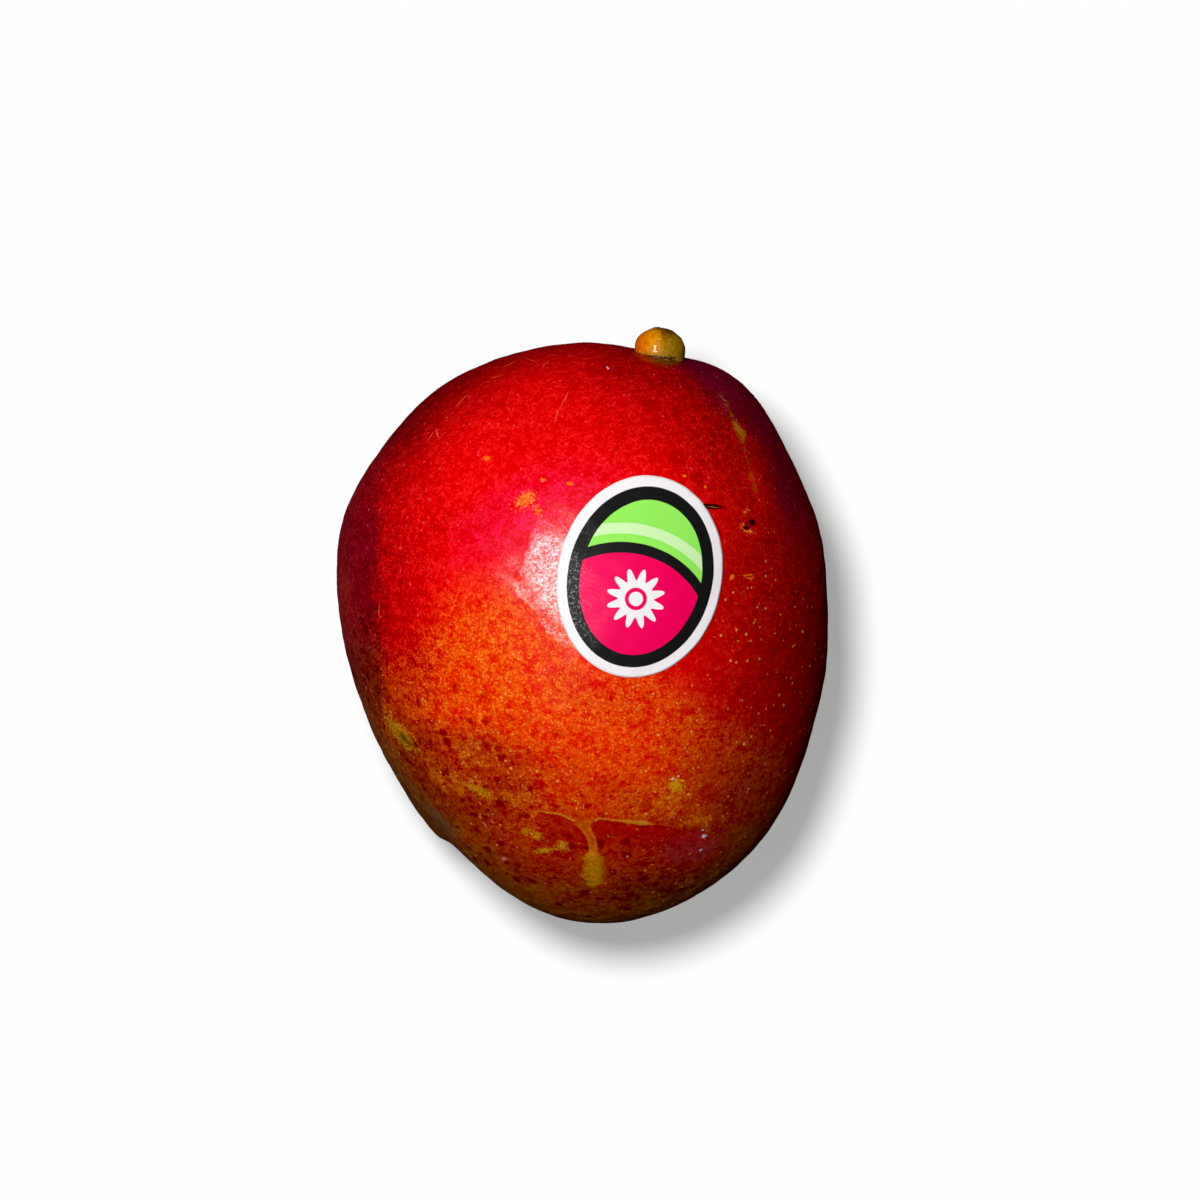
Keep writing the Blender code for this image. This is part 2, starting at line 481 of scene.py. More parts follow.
def patch(place, spot, half_length, half_width, turn=0.0, inner=0.4, depth=9.0):
    """1 on an oval patch of the upper skin, in millimetres and degrees, and 0 outside it."""
    middle = over(spot)[0]
    turned = (0.0, 0.0, math.radians(turn))
    radii = (half_length, half_width, max(depth, half_width))
    sockets = {"Vector": place, "Location": middle, "Rotation": turned, "Scale": radii}
    inside = place.node("ShaderNodeMapping", {"vector_type": "TEXTURE"}, sockets)
    return smooth(inside.vector("LENGTH", inside, output=1), 1.0, inner)


def blend(base, cover, amount, way="MIX"):
    """The colour base under the colour cover, which shows as far as amount says."""
    settings = {"data_type": "RGBA", "blend_type": way}
    return amount.node("ShaderNodeMix", settings, {0: amount, 6: base, 7: cover}, 2)


# Colours of the skin, as linear light. The skin is flecked, so each kind of skin is a pair: the
# colour of its dark flecks and that of its light ones.
RED = ((0.76, 0.0005, 0.0008, 1), (0.98, 0.011, 0.01, 1))
ROSE = ((0.77, 0.0005, 0.007, 1), (0.98, 0.009, 0.07, 1))
ORANGE = ((0.78, 0.002, 0.0008, 1), (0.98, 0.135, 0.009, 1))
AMBER = ((0.73, 0.015, 0.0008, 1), (0.98, 0.185, 0.008, 1))
# The flanks: maroon, partly painted shade where they turn from the light.
MAROON_AND_SHADE = ((0.17, 0.001, 0.005, 1), (0.32, 0.006, 0.014, 1))
FOLD_RED_AND_SHADE = ((0.25, 0.001, 0.002, 1), (0.4, 0.0075, 0.004, 1))  # below the crease, partly painted shade of the fold
WINE_AND_SHADE = ((0.095, 0.0006, 0.009, 1), (0.185, 0.003, 0.03, 1))  # the back shoulder, partly painted shade
UMBER = ((0.13, 0.006, 0.002, 1), (0.3, 0.028, 0.005, 1))  # the belly edge towards the tip
RIM_BROWN = ((0.25, 0.008, 0.008, 1), (0.42, 0.02, 0.015, 1))  # its outermost rim
PLUM_AND_PAINTED_SHEEN = ((0.2, 0.006, 0.008, 1), (0.36, 0.02, 0.028, 1))  # the back side of the tip, with a painted purple sheen
OCHRE = ((0.4, 0.03, 0.003, 1), (0.72, 0.22, 0.013, 1))  # veiled by sap
OLIVE_BROWN = ((0.16, 0.035, 0.005, 1), (0.32, 0.1, 0.008, 1))  # the slope to the tip
GREEN = ((0.26, 0.17, 0.012, 1), (0.42, 0.33, 0.028, 1))  # the underside
# Pairs of shades that dim the dark and the light flecks where the blush is deeper, and partly
# painted shade that darkens the skin towards its rims.
DUSK = ((0.72, 0.8, 0.8, 1), (0.92, 0.9, 0.9, 1))
SHADE = ((0.76, 0.42, 0.6, 1), (0.8, 0.48, 0.6, 1))
DEEPER_AND_SHADED = ((0.26, 0.3, 0.4, 1), (0.46, 0.56, 0.6, 1))
BROWNER_AND_SHADED = ((0.19, 0.2, 0.36, 1), (0.33, 0.32, 0.48, 1))
LEFT_SHADE = ((0.24, 0.26, 0.4, 1), (0.6, 0.62, 0.7, 1))
BLOTCH = ((0.52, 0.44, 0.8, 1), (0.8, 0.7, 0.9, 1))
# Tints that multiply the colour: dark-red spots, soft mottles, the fine net on the belly edge,
# the rings round the pores, and light specks, which are brighter than the skin round them.
SPOT_TINT = (0.56, 0.05, 0.22, 1)
MOTTLE_TINT = (0.97, 0.42, 0.55, 1)
NET_TINT = (0.72, 0.45, 0.6, 1)
PORE_HALO_TINT = (0.66, 0.4, 0.6, 1)
LIGHT_SPECK = (1.03, 2.8, 3.6, 1)
# Colours that cover the skin.
THREAD_RED = (0.36, 0.038, 0.015, 1)  # threads on the dark back side
PORE_PINK = (1, 0.15, 0.19, 1)  # corky pores on the red crown
PORE_ORANGE = (1, 0.4, 0.08, 1)  # corky pores lower down
PAINTED_BEAK_SHEEN = (0.14, 0.085, 0.04, 1)  # a painted sheen along the ridge of the beak
# A painted glint: pale light shining off the wax.
PAINTED_GLINT = (0.8, 0.7, 0.95, 1)
# A painted pink glint.
PAINTED_PINK_GLINT = (0.95, 0.2, 0.22, 1)
BARE_OLIVE = (0.56, 0.31, 0.012, 1)
BARE_ORANGE = (1, 0.19, 0.01, 1)
BARE_GOLD = (1, 0.33, 0.04, 1)
SLIT_BROWN = (0.01, 0.003, 0.002, 1)
SCRATCH_PINK = (1, 0.14, 0.07, 1)
SAP_TAN = (0.62, 0.26, 0.02, 1)
COLLAR_BROWN = (0.1, 0.06, 0.01, 1)  # the scar at the foot of the stem

# More rows of ovals: small dots and dashes of bare orange, hair-fine scratches, the slit and the
# pits beside the sticker, painted glints, painted pink glints, and places where the skin doesn't shine.
DOTS = (
    (-16.5, 29.9, 0.8, 0.7, 0),
    (-6.6, 26, 0.6, 0.5, 0),
    (-2.1, 25.3, 0.6, 0.5, 0),
    (29.3, 9.6, 1.5, 0.22, 0),
    (29.5, 9.1, 1.3, 0.18, 0),
    (26.2, 9.1, 0.9, 0.35, 60),
    (15.6, 25.8, 0.6, 0.4, 0),
    (17.8, 26.8, 0.5, 0.4, 0),
    (21.6, 25, 0.5, 0.4, 0),
)
SCRATCHES = (
    (-2.9, 40.6, 2.6, 0.20, 66),
    (-4.4, 37.4, 2, 0.18, 76),
    (-27, 34.4, 1.8, 0.18, 56),
    (-25.7, 34.8, 1.4, 0.22, -72),
    (-21.6, 41, 2.4, 0.16, 48),
    (-13, 48.2, 2.4, 0.16, 25),
    (-9.6, 48.8, 2, 0.16, -28),
    (-6.6, 47.6, 1.6, 0.16, 55),
    (-15.4, 45.4, 1.6, 0.14, 12),
    (-36.2, 3.2, 2.4, 0.16, 85),
)
DARK_PLACES = (
    (22.6, 21.5, 2.6, 0.62, -3),
    (-5, 7.1, 0.26, 0.26, 0),
    (30, 18.9, 0.80, 0.72, 60),
    (28.9, 17.9, 0.74, 0.46, -10),
)
# Painted glints: pale spots that stand for light shining off the wax.
PAINTED_GLINTS = (
    (21.9, -37.2, 0.55, 0.45, 0),
    (21.4, -39.9, 0.42, 0.34, 0),
    (21.6, -36, 0.34, 0.30, 0),
    (16, -26.1, 0.36, 0.17, 20),
    (17, -25.7, 0.30, 0.16, 0),
    (4.6, 46.6, 0.40, 0.26, -60),
)
# Painted pink glints: soft pink spots of light on the wax.
PAINTED_PINK_GLINTS = (
    (-17.6, -35.2, 0.9, 0.24, -60),
    (-16.2, -34.5, 0.6, 0.20, -50),
    (-14.2, -41.8, 0.75, 0.60, 0),
    (16.3, -33.3, 0.4, 0.25, 70),
)
DULL_PLACES = (
    (-8.2, -2.2, 5.4, 3.6, -38),
    (-10.9, 9.6, 1.4, 0.7, 70),
)
# Where DUSK dims the blush: the middle, size and turn of an oval, and how strongly.
DUSKY_PLACES = (
    ((20, 43), 9, 6, 0, 0.7),
    ((7, -29.5), 7, 4.5, 0, 0.6),
    ((4, -12), 14, 7, -20, 0.7),
    ((28, -29), 9, 6, 50, 0.9),
    ((-22, 19), 14, 6, 10, 0.6),
    ((21.5, 29), 11, 9, 0, 0.9),
)


def turn_to(flecks, cover, amount, way="MIX"):
    """Dark and light flecks under another pair of them."""
    return blend(flecks[0], cover[0], amount, way), blend(flecks[1], cover[1], amount, way)


def dim(flecks, shade, amount):
    """Dark and light flecks times a pair of shades, as far as amount says."""
    return turn_to(flecks, shade, amount, "MULTIPLY")


def places(ground, rows, inner=0.4):
    """1 on any of the listed oval places of the skin."""
    found = None
    for x, y, half_length, half_width, turn in rows:
        here = patch(ground, (x, y), half_length, half_width, turn, inner)
        found = highest(found, here) if found else here
    return found


def blush(place, drifting, flaky):
    """The pair of flecks all over the fruit: which colour the skin has where.

    Steps of x, y and z run between millimetres, and steps of noise between levels from 0 to 1.
    Drifting is the place shaken by broad noise, and flaky the x of the place shaken by fine noise.
    """
    x, y, z = parts_of(drifting)
    cloud = noise(place, 5, 3, 0.6) - 0.5

    # The crown is red with a rosy tinge. Orange ground shows through the blush below it: from
    # the middle of the belly side down, and on the back side lower still.
    rosy = patch(drifting, (-8, 19), 22, 12, 25, 0, 30)
    flecks = turn_to(RED, ROSE, rosy)
    left_edge = smooth(x * 0.79 - y * 0.61 + 18.8, -9, 8)
    right_edge = smooth(x * 0.62 + y + 5.3, 13, -5)
    heart = patch(drifting, (-14, 0), 15, 13, -60, 0.1, 40)
    redder = highest(
        patch(drifting, (11.5, -17), 8, 5, 10, 0, 30),
        patch(drifting, (2, -9), 9.5, 6, -40, 0, 30) * 1.2,
    )
    sunless = left_edge * highest(right_edge, heart) * (cloud * 1.3 + 1) - redder * 0.35
    flecks = (
        blend(flecks[0], ORANGE[0], smooth(sunless, 0.25, 1)),
        blend(flecks[1], ORANGE[1], smooth(sunless, 0, 0.85)),
    )
    core = patch(drifting, (-15.5, -9), 14, 8, -80, 0, 40)
    rim = highest(smooth(y * 0.6 + x * 0.8, -28, -42), smooth(y, -42, -52))
    flecks = turn_to(flecks, AMBER, highest(core * 0.6, rim) * (cloud * 1.6 + 0.95))

    # The blush deepens towards the stem, the back and the tip, and painted shade darkens it there
    # too, towards the rims. The back shoulder is the colour of wine, partly painted shade.
    for spot, half_length, half_width, turn, amount in DUSKY_PLACES:
        dusky = patch(drifting, spot, half_length, half_width, turn, 0)
        flecks = dim(flecks, DUSK, dusky * amount)
    glade = patch(drifting, (31, 26), 7.5, 2.6, -75, 0) * 0.55
    for shade, amount in (
        (DUSK, smooth(y, 18, 40) * (smooth(x, -2, 16) * 0.2 + 0.8)),
        (DUSK, smooth(y * 0.45 + x * 0.60, 14, 26)),
        (DEEPER_AND_SHADED, smooth(x * 0.5 + y * 0.87, 33, 54) * 0.75),
        (DEEPER_AND_SHADED, smooth(y * 0.8 - x * 0.6, 38, 52)),
        (DEEPER_AND_SHADED, smooth(x - smooth(y, -12, 30) * 8, 2, 37.5) * (1 - glade)),
        (DEEPER_AND_SHADED, patch(drifting, (12, -49), 12, 6.5, -10, 0, 40) * 0.45),
        (LEFT_SHADE, smooth(x, -20, -40) * 0.75),
        (BROWNER_AND_SHADED, smooth(y + x * 0.12, -11, -52)),
        (BLOTCH, patch(drifting, (-24, -27), 22, 13, 0, 0.5, 60)),
        (SHADE, smooth(x * 0.8 - y * 0.6, 24, 38) * 0.5),
        (SHADE, patch(drifting, (-31, -20), 14, 10, -40, 0.2) * 0.62),
    ):
        flecks = dim(flecks, shade, amount)
    shoulder = highest(smooth(x * 0.98 + y * 0.21, 37.5, 41), smooth(x * 0.7 + y * 0.7, 43, 48))
    flecks = turn_to(flecks, WINE_AND_SHADE, shoulder * smooth(y, 8, 26) * 0.85)

    # The flanks are maroon, partly painted shade where they turn away, with a ragged border on the
    # belly side, and turn olive to green below.
    belly = smooth(flaky + cloud * 5, -34.6, -38) * smooth(y, -24, -12)
    belly = belly * (smooth(y, 30, 17) * 0.5 + 0.5)
    flank = smooth(z, 58, 44) * smooth(x, 20, 34)
    flecks = turn_to(flecks, MAROON_AND_SHADE, highest(belly, flank))
    flecks = turn_to(flecks, UMBER, belly * smooth(y, 6, -10) * 0.9)
    outermost = smooth(x, -40, -42.5) * stretch(y, -6, 2, 8, 16)
    flecks = turn_to(flecks, RIM_BROWN, outermost * 0.8)
    slope = smooth(z + cloud * 26, 60, 47) * smooth(y + x * 0.25, -17, -31)
    flecks = turn_to(flecks, OLIVE_BROWN, slope)
    return turn_to(flecks, GREEN, smooth(z + cloud * 60, 34, 6))


def mango_skin_material():
    """Flecked skin whose dark and light flecks change over the fruit, with dots and marks on it."""
    material, shader, place = new_material("mango_skin")
    ragged = shaken(place, 0.9, 0.5, 2)
    drifting = shaken(place, 9, 2.4, 3)
    flaky, _, _ = parts_of(shaken(place, 2.6, 2.2, 4))
    flecks = blush(place, drifting, flaky)
    x, y, z = parts_of(place)
    fine = noise(place, 0.44, 2, 0.6)
    grains = noise(place, 0.27, 1, 0.5)
    middling = noise(place, 1.15, 2, 0.5)
    cells = place.node("ShaderNodeTexVoronoi", {}, {"Vector": ragged, "Scale": 1.2})
    coarse = noise(place, 2.6, 2, 0.6)

    # Under the crease the skin is deep red, partly painted shade of the fold, and a run of dried sap splits
    # it.
    along, aside, _ = parts_of(stored(place, "crease"))
    on_top = smooth(z, 36, 44)
    wobble = (coarse - 0.5) * 0.9
    below = smooth(aside + wobble, 0.12, -0.12) * stretch(along, -0.4, 1, 29, 36)
    folded = below * smooth(aside + smooth(along, 9, 5) * 3.5, -9, -1.5) * on_top
    flecks = turn_to(flecks, FOLD_RED_AND_SHADE, folded * (smooth(x, -12, 4) * 0.35 + 0.55))
    # Plum skin with a painted purple sheen, below the back end of the crease.
    flecks = turn_to(flecks, PLUM_AND_PAINTED_SHEEN, patch(drifting, (18.5, -40.5), 10, 6.5, -10, 0) * 0.48)
    stained, veiled, rubbed = parts_of(stored(place, "marks"))
    grit = fine - 0.5
    veil = smooth(veiled + (coarse - 0.5) * 1.8 + grit * 0.8, 0.10, 1.00) * 0.55 * (1 - below)
    flecks = turn_to(flecks, OCHRE, veil)

    # Fine curved threads of lighter skin, among grains of many sizes.
    threads = smooth(size_of(noise(place, 0.95, 1.5, 0.5) - 0.5), 0.055, 0)
    tone = fine * 0.60 + grains * 0.20 + middling * 0.45 + coarse * 0.25 - cells * 0.10 + threads * 0.06
    tone = smooth(tone, 0.50, 0.97)
    colour = blend(flecks[0], flecks[1], tone)
    specks = smooth(fine * 0.65 + grains * 0.35, 0.54, 0.68) * (smooth(y, -34, -6) * 0.55 + 0.45)
    colour = blend(colour, LIGHT_SPECK, specks, "MULTIPLY")
    mottles = smooth(middling * 0.55 + coarse * 0.45, 0.53, 0.40)
    colour = blend(colour, MOTTLE_TINT, mottles * 0.75, "MULTIPLY")
    net = smooth(middling * 0.4 + fine * 0.6 - cells * 0.12, 0.49, 0.38) * smooth(x, -18, -31)
    net = net * (smooth(y, -16, -4) * 0.7 + 0.3) * smooth(z, 40, 56)
    colour = blend(colour, NET_TINT, net * 0.65, "MULTIPLY")
    threads_on_dark = threads * smooth(x, 15, 27) * smooth(z, 40, 55)
    colour = blend(colour, THREAD_RED, threads_on_dark * 0.30)

    # Dark-red spots gather on the lower belly side.
    speckled = smooth(y * 0.9 + x * 0.6, -8, -31) * smooth(z, 20, 40)
    large = smooth(scattered(ragged, 2.5, 0.95, 0.50), 1, 0.45)
    small = smooth(scattered(ragged, 1.2, 0.42, 0.45), 1, 0.4)
    colour = blend(colour, SPOT_TINT, highest(large, small * 0.75) * speckled, "MULTIPLY")

    # Sap stained the skin: in olive patches, in a thin line along the crease and down its run,
    # and in a broken streak on the back shoulder. Round the patches it is thinly veiled.
    olive = smooth(stained + grit * 1.8 + (coarse - 0.5) * 0.6, 0, 0.70)
    width = stretch(along, 14.5, 17, 19.5, 20.5) * 0.22 + 0.14
    line = smooth(size_of(aside + wobble * 0.8 - 0.15) - width + grit * 0.9, 0.14, -0.14)
    line = line * smooth(size_of(along - 8.8), 1.6, 2.1) * stretch(along, 0, 1.2, 19.5, 22)
    down, off_run, _ = parts_of(stored(place, "sap"))
    reach = smooth(down, 1.8, 0) * 0.8 + 0.60
    channel = smooth(size_of(off_run + wobble * 0.5) - reach + grit * 0.8, 0.35, -0.15)
    channel = channel * stretch(down, -0.6, 0.2, 6.5, 8)
    banks = smooth(size_of(size_of(off_run + wobble * 0.5) - reach) + grit * 0.8, 0.30, 0.05)
    banks = banks * stretch(down, 0.2, 1, 5.5, 7) * smooth(coarse, 0.34, 0.50)
    run = stretch(down, 5.2, 7.6, 12.3, 13.3) * 1.75
    run = size_of(off_run + wobble * 1.6 + (middling - 0.5) * 2.4) - run + grit * 3.4
    run = smooth(run, 0.45, -0.60) * stretch(down, 4.6, 6.4, 12.8, 14) * 0.78
    past, off_streak, _ = parts_of(stored(place, "streak"))
    wide_part = stretch(past, 6, 8.4, 9.4, 11.2) * 0.75
    narrow_part = stretch(past, 15.5, 17, 19.5, 20.5) * 0.2
    streak = size_of(off_streak + wobble * 1.4) - (wide_part + narrow_part)
    streak = smooth(streak + grit * 2.6 + (middling - 0.5) * 1.6, 0.25, -0.35)
    streak = streak * stretch(past, 0, 1.5, 20, 23) * (smooth(past, 13.5, 11.5) * 0.35 + 0.35)
    sapped = highest(highest(olive, run), streak) * on_top
    colour = blend(colour, BARE_OLIVE, sapped * (tone * 0.40 + 0.38))
    colour = blend(colour, OCHRE[1], channel * (tone * 0.30 + 0.16) * on_top)
    colour = blend(colour, SAP_TAN, highest(line, banks * 0.42) * (tone * 0.25 + 0.60) * on_top)
    colour = blend(colour, SLIT_BROWN, patch(ragged, (-32.4, -19.8), 2.4, 1.1, -48, 0) * 0.8)

    # Pores: small pale corky dots in darker rings, pink on the red crown and orange lower down.
    seen = smooth(coarse, 0.36, 0.60)
    lower = smooth(y - x * 0.25, 18, -8)
    bare = 1 - lower * smooth(x, -32, -18) * smooth(y, -42, -32)
    pores = lowest(scattered(place, 1.35, 0.25, 0.62), scattered(place, 2.2, 0.33, 0.58) + bare * 3)
    halo = smooth(pores, 1.9, 1) * (lower * 0.38 + 0.03)
    colour = blend(colour, PORE_HALO_TINT, halo * (seen * 0.5 + 0.3), "MULTIPLY")
    corky = smooth(pores, 1.1, 0.2)
    paleness = (lower * 0.28 + 0.34) * (seen * 0.8 + 0.35) * (1 - folded * 0.7)
    colour = blend(colour, blend(PORE_PINK, PORE_ORANGE, lower), corky * paleness)

    # Over all this lie the rubbed places, the small marks of the rows above with painted glints and
    # painted pink glints among them, the pale lip of the slit, a painted sheen on the ridge of the
    # beak, and the scar at the stem.
    worn = smooth(rubbed + grit * 2.4 + coarse - 0.5, 0, 0.90)
    slit_lip = patch(shaken(place, 1.2, 0.15), (22.9, 21.4), 1.6, 0.11, -3, 0.2)
    for cover, amount in (
        (blend(BARE_ORANGE, BARE_GOLD, smooth(fine, 0.5, 0.7)), worn * 0.85),
        (BARE_ORANGE, places(ragged, DOTS, 0.3) * 0.75),
        (SCRATCH_PINK, places(shaken(place, 1.6, 0.25), SCRATCHES, 0) * 0.55),
        (SLIT_BROWN, places(place, DARK_PLACES, 0.6) * 0.95),
        (BARE_GOLD, slit_lip * 0.45),
        # A painted sheen along the ridge of the beak.
        (PAINTED_BEAK_SHEEN, patch(drifting, (-26.4, -35.6), 6.5, 1.5, -48, 0.1) * 0.55),
        # Painted glints.
        (PAINTED_GLINT, places(ragged, PAINTED_GLINTS, 0.2) * 0.8),
        # Painted pink glints.
        (PAINTED_PINK_GLINT, places(ragged, PAINTED_PINK_GLINTS, 0.2) * 0.6),
        (COLLAR_BROWN, patch(ragged, (15, 48.7), 3.4, 1.5, -8, 0.1, 12) * 0.7),
    ):
        colour = blend(colour, cover, amount)

    # The bloom, a fine wax, makes the skin satin. In ragged patches it is polished away, and the
    # skin shines, most of all beside the sticker, where a hand pressed it.
    torn = shaken(place, 2.2, 1.6, 4)
    pressed = highest(
        patch(torn, (3.2, 10.6), 13.2, 17.2, 0, 0.90, 20),
        patch(torn, (-5.8, 7.2), 6.2, 4.6, -20, 0.85, 20),
    )
    polished = highest(pressed, smooth(noise(torn, 14), 0.60, 0.62) * smooth(z, 64, 72))
    polished = polished * (smooth(y, -5, 5) * 0.95 + 0.05) * (1 - smooth(y, 13, 24) * 0.6)
    polished = highest(polished, patch(torn, (19.5, -39), 8, 4, -10, 0.60) * 0.8)
    polished = highest(polished, patch(torn, (-13.5, 9.5), 5, 7, 0, 0.3) * 0.35)
    dull = places(torn, DULL_PLACES, 0.85)
    wax = smooth(fine * 0.6 + grains * 0.4 + coarse * 0.2 - cells * 0.10 - threads * 0.10, 0.39, 0.67)
    satin = smooth(z, 66, 54) * 0.115 + 0.010
    gloss = (polished * (wax * 1.10 + 0.18) + wax * satin) * (1 - dull)
    pimples = fine * 0.05 + corky * 0.03 + sapped * 0.03
    connect(
        shader,
        {"Base Color": colour, "Coat Weight": gloss, "Normal": bumpy(pimples)},
        {"Roughness": 0.4, "Specular IOR Level": 0.06, "IOR": 1.5, "Coat IOR": 1.5, "Coat Roughness": 0.20},
    )
    return material


mango_skin = mango_skin_mesh()
mango_skin.data.materials.append(mango_skin_material())
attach(mango_skin, "root")
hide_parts("fruit")

# The stem stub. The woody end of the stalk, which snapped off at its swollen joint and healed
# to a blunt knob. It grows out of the hollow at the top of the fruit.

STUB_RADIUS = 0.00455
STUB_HEIGHT = 0.0054
STUB_BEARING = math.radians(91.0)
STUB_ELEVATION = math.radians(10.0)
STUB_SINK = 0.0006
STUB_COLUMNS = 160
STUB_ROWS = 80
# Grooves between the lobes of the knob: where round it, counted from -X over the top, how wide
# and how deep.
STUB_GROOVES = ((108, 11, 0.42), (40, 16, 0.16), (236, 16, 0.30), (302, 14, 0.24))
# Dents and swellings of its crown: where round it, how wide, at what rise, how high and how deep.
STUB_DENTS = (
    (175, 45, 0.80, 0.08, 0.30),
    (175, 50, 0.35, 0.22, -0.30),
    (120, 30, 0.82, 0.10, 0.35),
    (20, 40, 0.86, 0.07, 0.10),
)
# Up to this share of its rise the knob turns from the form of the skin to its own round.
STUB_FOOT = 0.35
# The nub is what is left of the stalk's core: its place beside the tip, its height and half width.
NUB_PLACE = (-0.0007, 0.0004)
NUB_HEIGHT = 0.00022
NUB_WIDTH = 0.0009
RIPPLE_DEPTH = 0.04


def stem_knob_mesh():
    """Rings that rise from a foot on the skin to a blunt tip.

    The first rings follow the skin and the later ones are circles square to the way up. A ring's
    width is (1 - rise to the power 4.5) to the power 0.6. Grooves run up between lobes, dents and
    swellings mark the crown, ripples run over it, and a low nub stands beside the tip. Each point
    also keeps how deep it lies in a groove or dent, and its rise.
    """
    up_way = towards(STUB_BEARING, STUB_ELEVATION)
    first, second = axes_beside(stem_axis)
    turn = np.linspace(0.0, 2 * math.pi, STUB_COLUMNS, endpoint=False)
    outward = np.outer(np.cos(turn), first) + np.outer(np.sin(turn), second)
    angle = STUB_RADIUS / skin_radius(stem_axis)
    foot = skin_points(stem_axis, -STUB_SINK)
    base = skin_points(math.cos(angle) * stem_axis + math.sin(angle) * outward, -STUB_SINK) - foot
    round_first, round_second = axes_beside(up_way)
    ring = STUB_RADIUS * (np.outer(np.cos(turn), round_first) + np.outer(np.sin(turn), round_second))
    step = np.linspace(0.0, 1.0, STUB_ROWS + 1)[1:-1, None]
    rise = np.sin(0.5 * math.pi * step)
    width = (1.0 - rise**4.5) ** 0.6
    levelled = np.clip(rise / STUB_FOOT, 0.0, 1.0)
    levelled = levelled**2 * (3.0 - 2.0 * levelled)
    dip = np.zeros((len(step), STUB_COLUMNS))
    for place, half_width, depth in STUB_GROOVES:
        aside = turned_from(math.radians(place), turn) / math.radians(half_width)
        dip += depth * np.exp(-(aside**2))
    dip *= np.clip((rise - 0.25) * 2.0, 0.0, 1.0) * (1.0 - 0.7 * rise**4)
    for place, half_width, middle, half_height, depth in STUB_DENTS:
        aside = turned_from(math.radians(place), turn) / math.radians(half_width)
        dip += depth * np.exp(-(aside**2) - ((rise - middle) / half_height) ** 2)
    dip += RIPPLE_DEPTH * np.sin(9.0 * turn + 4.0 * rise) * np.sin(8.0 * rise)
    girth = width * (1.0 - dip * MM / STUB_RADIUS)
    shape = base * (1.0 - levelled[..., None]) + ring * levelled[..., None]
    across = shape * girth[..., None]
    from_nub = np.hypot(across @ round_first + NUB_PLACE[0], across @ round_second - NUB_PLACE[1])
    nub = NUB_HEIGHT * np.exp(-((from_nub / NUB_WIDTH) ** 2)) * rise**8
    height = rise * (STUB_HEIGHT + STUB_SINK) + nub
    rings = foot + across + up_way * height[..., None]
    made = ring_mesh("stem_knob", rings[-1].mean(axis=0), rings[::-1], foot)
    rows = np.stack([dip, np.broadcast_to(rise, dip.shape), np.zeros_like(dip)], axis=-1)
    store(made, "knob_place", np.vstack([[0.0, 1.0, 0.0], rows[::-1].reshape(-1, 3), [0.0, 0.0, 0.0]]))
    return made


KNOB_ORANGE = (0.76, 0.125, 0.003, 1)
KNOB_GOLD = (0.74, 0.27, 0.003, 1)
KNOB_OLIVE = (0.29, 0.16, 0.004, 1)
FOOT_OLIVE = (0.26, 0.15, 0.01, 1)
DOT_GOLD = (1, 0.42, 0.08, 1)
GRAIN_BROWN = (0.26, 0.06, 0.005, 1)
# Painted shade for the grooves and dents of the knob.
GROOVE_PAINTED_SHADE = (0.2, 0.07, 0.004, 1)
# The dark scar at the tip, also used as painted shade round the foot.
SCAR_AND_PAINTED_SHADE = (0.03, 0.01, 0.003, 1)
CORK_TAN = (0.5, 0.24, 0.09, 1)


def stem_knob_material():
    """Orange on the belly side, golden in the middle, olive on the back; a dark scar; painted shade in
    grooves and at the foot.
    """
    material, shader, place = new_material("stem_knob")
    x, y, _ = parts_of(shaken(place, 1.6, 0.6, 2))
    dip, rise, _ = parts_of(stored(place, "knob_place"))
    grain = noise(place, 0.7, 3, 0.6)
    colour = blend(KNOB_ORANGE, KNOB_GOLD, smooth(x, 9.6, 13.2))
    colour = blend(colour, KNOB_OLIVE, smooth(x, 12.8, 16.2))
    colour = blend(colour, FOOT_OLIVE, smooth(rise, 0.42, 0.20) * 0.7)
    colour = blend(colour, DOT_GOLD, smooth(scattered(place, 1, 0.22, 0.6), 1, 0.3) * 0.6)
    colour = blend(colour, GRAIN_BROWN, smooth(grain, 0.52, 0.36) * 0.45)
    # Painted shade in the grooves and dents of the knob.
    colour = blend(colour, GROOVE_PAINTED_SHADE, smooth(dip + grain * 0.1, 0.18, 0.42) * 0.6)
    far_side = smooth(rise, 0.76, 0.90) * smooth(x + y * 0.2, 24.4, 26.4)
    tip = highest(smooth(rise + grain * 0.10, 0.985, 1.03), far_side)
    # The dark ring round the foot is painted shade where the knob meets the skin; the tip's scar is its own
    # colour.
    foot = smooth(rise + grain * 0.14, 0.275, 0.225) * smooth(x, 18.2, 16.6)
    colour = blend(colour, SCAR_AND_PAINTED_SHADE, highest(tip * 0.8, foot) * 0.9)
    colour = blend(colour, CORK_TAN, foot * smooth(noise(place, 0.5), 0.56, 0.66) * 0.7)
    gloss = smooth(grain, 0.50, 0.62) * smooth(rise, 0.26, 0.34)
    connect(
        shader,
        {"Base Color": colour, "Coat Weight": gloss, "Normal": bumpy(grain * 0.30)},
        {"Roughness": 0.45, "Specular IOR Level": 0.12, "IOR": 1.45, "Coat Roughness": 0.08},
    )
    return material


stem_knob = stem_knob_mesh()
stem_knob.data.materials.append(stem_knob_material())
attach(stem_knob, "root")
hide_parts("stem_stub")

# The sticker. An oval of thin printed film, pressed by hand on the upper cheek and held by its
# own glue. Its print is plain: a white edge and a black ring round a pink field, with a green
# cap, a pale stripe on the cap, and a white rosette.

LABEL_MIDDLE = np.array([0.0103, 0.0099, 0.0400])
LABEL_HALF_LENGTH = 0.0174
LABEL_HALF_WIDTH = 0.0146
LABEL_TILT = math.radians(18.0)
FILM_GAP = 0.00012
FILM_THICKNESS = 0.00012
FILM_COLUMNS = 192
FILM_ROWS = 48


